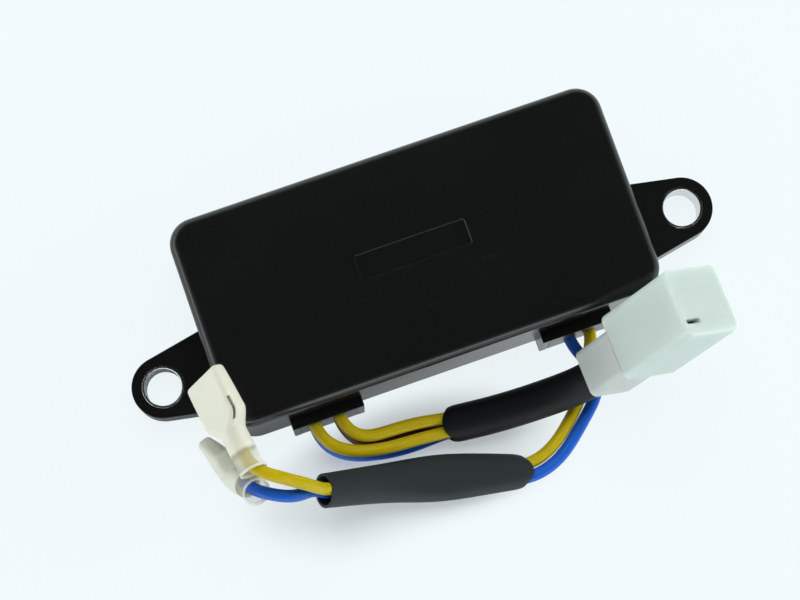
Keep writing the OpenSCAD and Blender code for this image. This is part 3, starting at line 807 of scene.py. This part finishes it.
def surface_grain():
    """Grain of a moulded surface: fine noise for its height, and broad noise for its tone."""
    name = "surface_grain"
    if name in bpy.data.node_groups:
        return bpy.data.node_groups[name]
    inputs = [("Vector", "NodeSocketVector", None), ("Fineness", "NodeSocketFloat", 2500.0)]
    group, start, end = new_group(name, inputs, ["Height", "Tone"])
    place = (start, "Vector")
    scale = (start, "Fineness")
    fine = add_node(group, "ShaderNodeTexNoise", Vector=place, Scale=scale, Detail=3, Roughness=0.6)
    broad = add_node(group, "ShaderNodeTexNoise", Vector=place, Scale=55, Detail=4, Roughness=0.55)
    feed_named(group, end, Height=(fine, "Fac"), Tone=(broad, "Fac"))
    return group


def handling_marks():
    """Marks of handling: stretched noise, kept only where it is high."""
    name = "handling_marks"
    if name in bpy.data.node_groups:
        return bpy.data.node_groups[name]
    inputs = [
        ("Vector", "NodeSocketVector", None), ("Stretch", "NodeSocketVector", (180.0, 900.0, 400.0)),
        ("Threshold", "NodeSocketFloat", 0.62),
    ]
    group, start, end = new_group(name, inputs, ["Mask"])
    least = (start, "Threshold")
    sources = (start, "Vector"), (start, "Stretch")
    place = (add_node(group, "ShaderNodeVectorMath", *sources, operation="MULTIPLY"), "Vector")
    noise = add_node(group, "ShaderNodeTexNoise", Vector=place, Scale=1, Detail=5, Roughness=0.65)
    most = calculated(group, "ADD", least, 0.12)
    feed_named(group, end, Mask=ramp(group, (noise, "Fac"), least, most, 0, 1))
    return group


def use_group(tree, group, place, output="Object", **values):
    """A node group in a material, fed with Object coordinates or another output."""
    return add_node(tree, "ShaderNodeGroup", node_tree=group, Vector=(place, output), **values)


def plain_finish(name, **values):
    """A material with its Principled shader fed, and coordinates to work from."""
    material = bpy.data.materials.new(name)
    material.use_nodes = True
    tree = material.node_tree
    shader = tree.nodes["Principled BSDF"]
    feed_named(tree, shader, **values)
    return material, tree, shader, tree.nodes.new("ShaderNodeTexCoord")


def grained_finish(
    name, tint, roughness, fineness=2500.0, depth=0.03 * MM, amount=0.25, spread=1.35, **values
):
    """A moulded or lacquered surface: grain, a drifting tone and a roughness that drifts with it."""
    material, tree, shader, place = plain_finish(name, **values)
    grain = use_group(tree, surface_grain(), place, Fineness=fineness)
    tone = (grain, "Tone")
    feed_named(
        tree, shader, Base_Color=tone_between(tree, tone, scaled(tint, 1 / spread), scaled(tint, spread)),
        Roughness=range_between(tree, tone, roughness - 0.06, roughness + 0.06),
        Normal=bump(tree, (grain, "Height"), depth, amount),
    )
    return material


def moulding_finish(tint):
    """Black moulding: grain, and faint handling marks that are duller and a little paler."""
    material, tree, shader, place = plain_finish("black_moulding", Specular_IOR_Level=0.45)
    grain = use_group(tree, surface_grain(), place, Fineness=2600.0)
    marks = (use_group(tree, handling_marks(), place), "Mask")
    clean = tone_between(tree, (grain, "Tone"), scaled(tint, 0.75), scaled(tint, 1.3))
    feed_named(
        tree, shader, Base_Color=tone_between(tree, marks, clean, scaled(tint, 1.35)),
        Roughness=range_between(tree, marks, 0.27, 0.3),
        Normal=bump(tree, (grain, "Height"), 0.03 * MM, 0.2),
    )
    return material


def metal_finish(name, tint, roughness, stain):
    """Bare or plated metal: broad stains in its colour and duller marks on a fine grain."""
    material, tree, shader, place = plain_finish(name, Metallic=1.0)
    grain = use_group(tree, surface_grain(), place, Fineness=4000.0)
    marks = (use_group(tree, handling_marks(), place, Threshold=0.55), "Mask")
    feed_named(
        tree, shader, Base_Color=tone_between(tree, (grain, "Tone"), scaled(tint, stain), tint),
        Roughness=range_between(tree, marks, roughness, roughness + 0.18),
        Normal=bump(tree, (grain, "Height"), 0.01 * MM, 0.2),
    )
    return material


def insulation_finish(name, tint):
    """Soft vinyl insulation: faint streaks along the wire from its own map, and a waxy body."""
    material, tree, shader, place = plain_finish(
        name, Subsurface_Weight=0.12, Subsurface_Radius=(1.0, 0.7, 0.3), Subsurface_Scale=0.4 * MM,
        Specular_IOR_Level=0.3,
    )
    streaks = use_group(tree, handling_marks(), place, "UV", Stretch=(120.0, 9.0, 1.0), Threshold=0.5)
    grain = use_group(tree, surface_grain(), place, Fineness=1800.0)
    feed_named(
        tree, shader, Base_Color=tone_between(tree, (streaks, "Mask"), tint, scaled(tint, 0.86)),
        Roughness=range_between(tree, (grain, "Tone"), 0.34, 0.46),
        Normal=bump(tree, (grain, "Height"), 0.03 * MM, 0.2),
    )
    return material


def sleeve_finish(name, tint, roughness):
    """Sleeving: a slightly crumpled surface with a dull sheen and pale rubbed spots."""
    material, tree, shader, place = plain_finish(name, Specular_IOR_Level=0.25)
    grain = use_group(tree, surface_grain(), place, Fineness=700.0)
    spots = use_group(tree, handling_marks(), place, Stretch=(300.0, 500.0, 500.0), Threshold=0.66)
    feed_named(
        tree, shader, Base_Color=tone_between(tree, (spots, "Mask"), tint, scaled(tint, 1.7)),
        Roughness=range_between(tree, (grain, "Tone"), roughness - 0.08, roughness + 0.08),
        Normal=bump(tree, (grain, "Height"), 0.06 * MM, 0.25),
    )
    return material


def nylon_finish(tint):
    """Undyed nylon that light passes into, with faint clouding and a moulded grain."""
    return grained_finish(
        "undyed_nylon", tint, 0.45, fineness=1500.0, depth=0.02 * MM, amount=0.2, spread=1.03,
        Subsurface_Weight=1.0, Subsurface_Radius=(1.0, 1.15, 1.1), Subsurface_Scale=3.2 * MM,
    )


def vinyl_finish(tint):
    """Undyed soft vinyl: milky, but clear over the end of the wire, apart from the rim where the wire goes
    in. Both go by the map along the boot."""
    material = grained_finish(
        "undyed_vinyl", tint, 0.38, fineness=700.0, depth=0.1 * MM, amount=0.3, spread=1.16,
        Subsurface_Weight=0.6, Subsurface_Radius=(1.0, 0.95, 0.7), Subsurface_Scale=0.9 * MM,
    )
    tree = material.node_tree
    place = next(node for node in tree.nodes if node.bl_idname == "ShaderNodeTexCoord")
    along = (add_node(tree, "ShaderNodeSeparateXYZ", (place, "UV")), "X")
    past_clear = ramp(tree, along, 3.7 * MM, 4.6 * MM, 0.2, 0.86)
    rim = ramp(tree, along, 0.2 * MM, 0.8 * MM, 0.62, 0.0)
    feed_named(tree, tree.nodes["Principled BSDF"], Alpha=calculated(tree, "MAXIMUM", past_clear, rim))
    return material


def finishes():
    """All finishes of the regulator by name, made once."""
    if "finishes" in STORE:
        return STORE["finishes"]
    f = settings().finish
    made = {
        "moulding": moulding_finish(tuple(f.moulding)),
        "steel": metal_finish("plated_steel", tuple(f.steel), 0.2, 0.9),
        "resin": grained_finish(
            "cast_resin", tuple(f.resin), 0.3, fineness=300.0, depth=0.2 * MM, amount=0.4
        ),
        "black_sleeve": sleeve_finish("black_sleeving", tuple(f.black_sleeve), 0.58),
        "grey_sleeve": sleeve_finish("grey_sleeving", tuple(f.grey_sleeve), 0.55),
        "nylon": nylon_finish(tuple(f.nylon)),
        "vinyl": vinyl_finish(tuple(f.vinyl)),
        "brass": metal_finish("plain_brass", tuple(f.brass), 0.3, 0.75),
    }
    for tint in ("yellow", "blue", "brown"):
        made[tint] = insulation_finish(tint + "_insulation", tuple(getattr(f, tint)))
    for key, (name, tint, roughness) in HIDDEN_FINISHES.items():
        made[key] = grained_finish(name, tint, roughness)
    STORE["finishes"] = made
    return made


# Steps


def facing(right, up, back, at):
    """Matrix of a camera or lamp from its directions and its place. It looks away from its back."""
    matrix = np.identity(4)
    matrix[:3] = np.column_stack([right, up, back, at])
    return Matrix(matrix.tolist())


class REGULATOR_OT_stage(bpy.types.Operator):
    """Set up the camera, the lamps, the pale floor and the surroundings"""

    bl_idname = "regulator.stage"
    bl_label = "Stage"

    def execute(self, context):
        stage = settings().stage
        self.add_camera(context, stage)
        for name, (at, size, power, mirrored) in LAMPS.items():
            lamp = self.add_lamp(context, name, at, size, getattr(stage, power))
            lamp.visible_glossy = mirrored
        self.add_floor(stage)
        self.set_world(context, stage)
        context.scene.view_settings.view_transform = "Standard"
        return {"FINISHED"}

    def add_camera(self, context, stage):
        """The view looks back along a direction that is tipped and swung from the front face's normal, then
        rolled about it."""
        tilt, pan, roll = stage.tilt, stage.pan, stage.roll
        back = np.array([math.sin(pan), -math.sin(tilt) * math.cos(pan), math.cos(tilt) * math.cos(pan)])
        level = np.cross([0, 1, 0], back)
        level /= np.linalg.norm(level)
        upright = np.cross(back, level)
        right = math.cos(roll) * level - math.sin(roll) * upright
        up = math.sin(roll) * level + math.cos(roll) * upright
        eye = stage.range * back + stage.aside * right + stage.raised * up
        data = bpy.data.cameras.new("view")
        data.sensor_fit = "HORIZONTAL"
        data.lens = data.sensor_width * stage.focal_pixels / PHOTO_WIDTH
        camera = bpy.data.objects.new("view", data)
        camera.matrix_world = facing(right, up, back, eye)
        context.scene.collection.objects.link(camera)
        context.scene.camera = camera

    def add_lamp(self, context, name, at, size, power):
        """A square lamp that faces the origin."""
        data = bpy.data.lights.new(name, "AREA")
        data.size = size
        data.energy = power
        lamp = bpy.data.objects.new(name, data)
        away = np.array(at) / np.linalg.norm(at)
        side = np.cross([0, 0, 1], away)
        side /= np.linalg.norm(side)
        lamp.matrix_world = facing(side, np.cross(away, side), away, at)
        context.scene.collection.objects.link(lamp)
        return lamp

    def add_floor(self, stage):
        """A pale floor that shows part of its light as it falls, with shadows, and part as a painted glow of
        plain colour that lifts those shadows.

        The painted glow is large except in an oval under the wires, where the real shadows show. In
        reflections it is a painted reflection that grows from the left to the right.
        """
        corners = FLOOR_HALF * np.array([(-1, -1, 0), (1, -1, 0), (1, 1, 0), (-1, 1, 0)])
        mesh = bpy.data.meshes.new("floor")
        mesh.from_pydata(corners.tolist(), [], [(0, 1, 2, 3)])
        floor = bpy.data.objects.new("floor", mesh)
        bpy.context.scene.collection.objects.link(floor)
        material, tree, shader, place = plain_finish(
            "pale_floor", Roughness=0.8, Specular_IOR_Level=0.0, Base_Color=(*stage.floor, 1)
        )
        # Painted glow: plain colour that covers part of the floor's lit shade and shadows
        painted_glow = add_node(tree, "ShaderNodeEmission", Color=(*stage.painted_glow, 1), Strength=1.0)
        light = tree.nodes.new("ShaderNodeLightPath")
        axes = add_node(tree, "ShaderNodeSeparateXYZ", (place, "Object"))
        # Painted reflection: in glossy rays the painted glow grows from the left to the right, so the case's
        # lower wall mirrors a darker floor at the left
        along = ramp(tree, (axes, "X"), -40 * MM, 25 * MM, 0.1, 0.9, "LINEAR")
        painted_reflection = calculated(tree, "MULTIPLY", (light, "Is Glossy Ray"), along)
        seen = calculated(tree, "MAXIMUM", (light, "Is Camera Ray"), (light, "Is Transmission Ray"))
        # Less painted glow in an oval under the wires, so that their shadows show there
        oval = add_node(
            tree, "ShaderNodeMapping", vector_type="TEXTURE", Vector=(place, "Object"),
            Location=(-15 * MM, -31 * MM, 0), Scale=(30 * MM, 14 * MM, 1),
        )
        across = add_node(tree, "ShaderNodeVectorMath", (oval, "Vector"), operation="LENGTH")
        plain = ramp(tree, (across, "Value"), 0.65, 1.15, 0.36, 0.92)
        share = calculated(tree, "MULTIPLY", calculated(tree, "MAXIMUM", seen, painted_reflection), plain)
        mix = add_node(tree, "ShaderNodeMixShader", share, (shader, "BSDF"), (painted_glow, "Emission"))
        feed_named(tree, tree.nodes["Material Output"], Surface=(mix, "Shader"))
        mesh.materials.append(material)

    def set_world(self, context, stage):
        """Surroundings that are bright near the horizon, most at the front left, and dark overhead. The
        camera sees the floor's colour instead."""
        world = bpy.data.worlds.new("surroundings")
        context.scene.world = world
        world.use_nodes = True
        tree = world.node_tree
        tree.nodes.clear()
        light = tree.nodes.new("ShaderNodeLightPath")
        place = tree.nodes.new("ShaderNodeTexCoord")
        axes = add_node(tree, "ShaderNodeSeparateXYZ", (place, "Generated"))
        fall = ramp(tree, (axes, "Z"), 0.12, 0.42, stage.ambient, 0.012 * stage.ambient)
        lean = ramp(tree, (axes, "Y"), -1.0, 1.0, 0.95, 0.2, "LINEAR")
        sides = calculated(tree, "MULTIPLY_ADD", (axes, "X"), -0.4, lean)
        level = calculated(tree, "MULTIPLY", fall, sides)
        around = add_node(tree, "ShaderNodeBackground", Color=(0.97, 0.99, 1.0, 1), Strength=level)
        seen = add_node(tree, "ShaderNodeBackground", Color=(*stage.floor, 1), Strength=1.0)
        both = (around, "Background"), (seen, "Background")
        mix = add_node(tree, "ShaderNodeMixShader", (light, "Is Camera Ray"), *both)
        add_node(tree, "ShaderNodeOutputWorld", Surface=(mix, "Shader"))


def connector_bundle():
    """The sleeve's line on the connector's side: its own route and its entry into the housing's skirt."""
    inside = placed([[x * MM, 0, 0] for x in SKIRT_ENTRY], CONNECTOR_PLACE)
    return np.vstack([np.array(CONNECTOR_SLEEVE_ROUTE) * MM, inside])


def outlet_tail(case, hand, aside, height):
    """The end of a wire in an outlet: a point in the resin, and the point where it leaves the case."""
    x = hand * case.outlet_spacing / 2 + aside * MM
    face = case.shift - case.width / 2 - case.outlet_reach
    return [[x, face + TAIL_LENGTH, height * MM], [x, face, height * MM]]


def lay_wire(name, path, tint, leaves):
    """A wire along its path in place of the solid of that name, kept with where it leaves the case."""
    wire = make_wire(name.replace("_wire", "_lead"), path, settings().harness.wire, finishes()[tint])
    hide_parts(name)
    STORE[name] = wire, path, leaves


class REGULATOR_OT_connector_wires(bpy.types.Operator):
    """Lay the four wires from the left outlet through their sleeve to the connector"""

    bl_idname = "regulator.connector_wires"
    bl_label = "Connector wires"

    layers = {
        "upper_yellow_wire": (1, -1, "yellow"), "lower_yellow_wire": (1, 1, "yellow"),
        "connector_blue_wire": (-1, 1, "blue"), "connector_brown_wire": (-1, -1, "brown"),
    }

    def execute(self, context):
        case, h, c = settings().case, settings().harness, settings().connector
        centre = connector_bundle()
        half = h.wire_pitch / 2
        for name, (up, side, tint) in self.layers.items():
            route = np.array(CONNECTOR_WIRE_ROUTES[name]) * MM
            tail = outlet_tail(case, -1, LEFT_OUTLET_COLUMNS[side], OUTLET_ROWS[up])
            bundle = beside(centre, np.full(len(centre), up * half), np.full(len(centre), side * half))
            reach = (c.skirt_length + FAN_OUT, CONTACT_CRIMP)
            ends = [[x, -side * c.pitch / 2, up * c.pitch / 2] for x in reach]
            path = smooth_path(np.vstack([tail, route, bundle, placed(ends, CONNECTOR_PLACE)]), h.softness)
            lay_wire(name, path, tint, tail[1])
        return {"FINISHED"}


class REGULATOR_OT_spade_wires(bpy.types.Operator):
    """Lay the two leads from the right outlet through their sleeve to the spade terminals"""

    bl_idname = "regulator.spade_wires"
    bl_label = "Spade leads"

    layers = {
        "brush_yellow_wire": (1, "yellow", YELLOW_BOOT_PLACE),
        "brush_blue_wire": (-1, "blue", BLUE_BOOT_PLACE),
    }

    def execute(self, context):
        case, h = settings().case, settings().harness
        centre = np.array(BRUSH_SLEEVE_ROUTE) * MM
        roll = np.radians(BRUSH_PAIR_ROLL)
        for name, (side, tint, place) in self.layers.items():
            tail = outlet_tail(case, 1, RIGHT_OUTLET_COLUMNS[side], OUTLET_ROWS[-1])
            half = side * h.wire_pitch / 2
            bundle = beside(centre, half * np.sin(roll), half * np.cos(roll))
            start, finish = np.array(BRUSH_WIRE_STARTS[name]) * MM, np.array(BRUSH_WIRE_ENDS[name]) * MM
            entry = placed([[0, 0, 0], [h.boot_tube - SPADE_CRIMP, 0, 0]], place)
            route = np.vstack([tail, start, bundle, finish, entry])
            lay_wire(name, smooth_path(route, BRUSH_EASING * h.softness), tint, tail[1])
        return {"FINISHED"}


class REGULATOR_OT_sleeves(bpy.types.Operator):
    """Put the sleeves around the wires"""

    bl_idname = "regulator.sleeves"
    bl_label = "Sleeves"

    def execute(self, context):
        h = settings().harness
        path = smooth_path(connector_bundle(), h.softness)
        radius = np.full(len(path), h.sleeve_radius)
        both = smooth_path(np.hstack([BRUSH_SLEEVE_ROUTE, BRUSH_SLEEVE_SIZES]) * MM, h.softness)
        tubes = {
            "connector": (path, radius, radius, "black_sleeve"),
            "brush": (both[:, :3], both[:, 3], both[:, 4], "grey_sleeve"),
        }
        for name, (path, across, upward, look) in tubes.items():
            shell = sleeve_shell(path, across, upward, h.sleeve_wall)
            sleeve = make_piece(name + "_sleeving", [shell], finishes()[look], sharp=50)
            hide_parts(name + "_sleeve")
            STORE[name + "_sleeve"] = sleeve
        return {"FINISHED"}


class REGULATOR_OT_connector(bpy.types.Operator):
    """Build the undyed connector housing and finish its contacts"""

    bl_idname = "regulator.connector"
    bl_label = "Connector"

    def execute(self, context):
        c = settings().connector
        half = c.pitch / 2 + SLOT_ASIDE
        corners = [(y, z) for z in (half, -half) for y in (-half, half)]
        slots = [slot_shell(c, y, z, depth) for (y, z), depth in zip(corners, SLOT_DEPTHS)]
        housing = make_piece(
            "connector_body", moved([housing_shell(c)], CONNECTOR_PLACE), finishes()["nylon"],
            added=moved([latch_shell(c)], CONNECTOR_PLACE),
            cuts=[moved(channel_shells(c), CONNECTOR_PLACE), moved(slots, CONNECTOR_PLACE)],
        )
        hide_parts("connector_housing")
        STORE["connector_housing"] = housing
        for i in range(1, 5):
            dress(f"connector_contact_{i}", "brass")
        return {"FINISHED"}


class REGULATOR_OT_boots(bpy.types.Operator):
    """Build the two soft boots and finish the spade terminals in them"""

    bl_idname = "regulator.boots"
    bl_label = "Boots"

    def execute(self, context):
        h = settings().harness
        middle = np.array([h.boot_length - SLIT_BACK, 0, 0])
        slit = block_shell(middle + SLIT_LOW, middle + SLIT_HIGH, SLIT_CORNER)
        for name, place in (("yellow", YELLOW_BOOT_PLACE), ("blue", BLUE_BOOT_PLACE)):
            points, faces = boot_shell(h)
            boot = make_piece(
                name + "_lead_boot", moved([(points, faces)], place), finishes()["vinyl"], sharp=50,
                uv=points[np.concatenate(faces), :2], cuts=[moved([slit], place)],
            )
            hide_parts(name + "_boot")
            STORE[name + "_boot"] = boot
            dress(name + "_spade", "brass")
        return {"FINISHED"}


class REGULATOR_OT_case(bpy.types.Operator):
    """Build the moulded case with its ears and outlets, and the steel eyelets"""

    bl_idname = "regulator.case"
    bl_label = "Case"

    def execute(self, context):
        case = settings().case
        shells = [case_shell(case)]
        for hand in (-1, 1):
            shells += [ear_shell(case, hand), outlet_shell(case, hand)]
        shell = make_piece("moulded_case", shells, finishes()["moulding"], bevel=(0.3 * MM, 3))
        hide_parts("case")
        for name, hand in (("left_eyelet", -1), ("right_eyelet", 1)):
            ring = make_piece(name + "_ring", [eyelet_shell(case, hand)], finishes()["steel"], sharp=60)
            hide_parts(name)
        return {"FINISHED"}


class REGULATOR_OT_inside(bpy.types.Operator):
    """Finish the resin, the circuit board and the parts in it"""

    bl_idname = "regulator.inside"
    bl_label = "Resin and board"

    looks = {
        "potting": "resin", "circuit_board": "board", "power_transistor": "epoxy",
        "rectifier_diodes": "epoxy", "flywheel_diode": "epoxy", "control_transistors": "epoxy",
        "filter_capacitor": "can", "film_capacitor": "dip", "load_resistor": "ceramic",
        "sense_resistors": "lacquer",
    }

    def execute(self, context):
        for node, finish in self.looks.items():
            dress(node, finish)
        return {"FINISHED"}


class REGULATOR_OT_declare_cords(bpy.types.Operator):
    """Pass each wire with the pieces on its end to a step that states nothing about them"""

    bl_idname = "regulator.declare_cords"
    bl_label = "Declare wires"

    def execute(self, context):
        h = settings().harness
        contacts = [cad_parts[f"connector_contact_{i}"] for i in range(1, 5)]
        on_connector = [STORE["connector_housing"], STORE["connector_sleeve"]] + contacts
        for name in CONNECTOR_WIRE_ROUTES:
            self.declare(name, h, "connector", on_connector)
        for name, tint in (("brush_yellow_wire", "yellow"), ("brush_blue_wire", "blue")):
            pieces = [STORE[tint + "_boot"], STORE["brush_sleeve"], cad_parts[tint + "_spade"]]
            self.declare(name, h, "fitting", pieces)
        return {"FINISHED"}

    def declare(self, name, h, far_end, pieces):
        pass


def dress(node, finish):
    """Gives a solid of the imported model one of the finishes."""
    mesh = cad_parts[node].data
    mesh.materials.clear()
    mesh.materials.append(finishes()[finish])


class REGULATOR_PT_sidebar(bpy.types.Panel):
    """Lists the steps that build the regulator"""

    bl_label = "Voltage Regulator"
    bl_idname = "REGULATOR_PT_sidebar"
    bl_space_type = "VIEW_3D"
    bl_region_type = "UI"
    bl_category = "Regulator"

    def draw(self, context):
        for step in STEPS:
            self.layout.operator(step.bl_idname)
        for group in ("case", "harness", "connector", "finish", "stage"):
            box = self.layout.box()
            box.label(text=group.capitalize())
            part = getattr(context.scene.regulator, group)
            for key in part.__annotations__:
                box.prop(part, key)


GROUPS = (
    RegulatorCase, RegulatorHarness, RegulatorConnector, RegulatorFinish, RegulatorStage, RegulatorSettings,
)
STEPS = (
    REGULATOR_OT_stage, REGULATOR_OT_connector_wires, REGULATOR_OT_spade_wires, REGULATOR_OT_sleeves,
    REGULATOR_OT_connector, REGULATOR_OT_boots, REGULATOR_OT_case, REGULATOR_OT_inside,
    REGULATOR_OT_declare_cords,
)


def register():
    for kind in (*GROUPS, *STEPS, REGULATOR_PT_sidebar):
        bpy.utils.register_class(kind)
    bpy.types.Scene.regulator = bpy.props.PointerProperty(type=RegulatorSettings)


def unregister():
    del bpy.types.Scene.regulator
    for kind in reversed((*GROUPS, *STEPS, REGULATOR_PT_sidebar)):
        bpy.utils.unregister_class(kind)


def main():
    register()
    bpy.ops.regulator.stage()
    bpy.ops.regulator.connector_wires()
    bpy.ops.regulator.spade_wires()
    bpy.ops.regulator.sleeves()
    bpy.ops.regulator.connector()
    bpy.ops.regulator.boots()
    bpy.ops.regulator.case()
    bpy.ops.regulator.inside()
    bpy.ops.regulator.declare_cords()


if __name__ == "__main__":
    main()
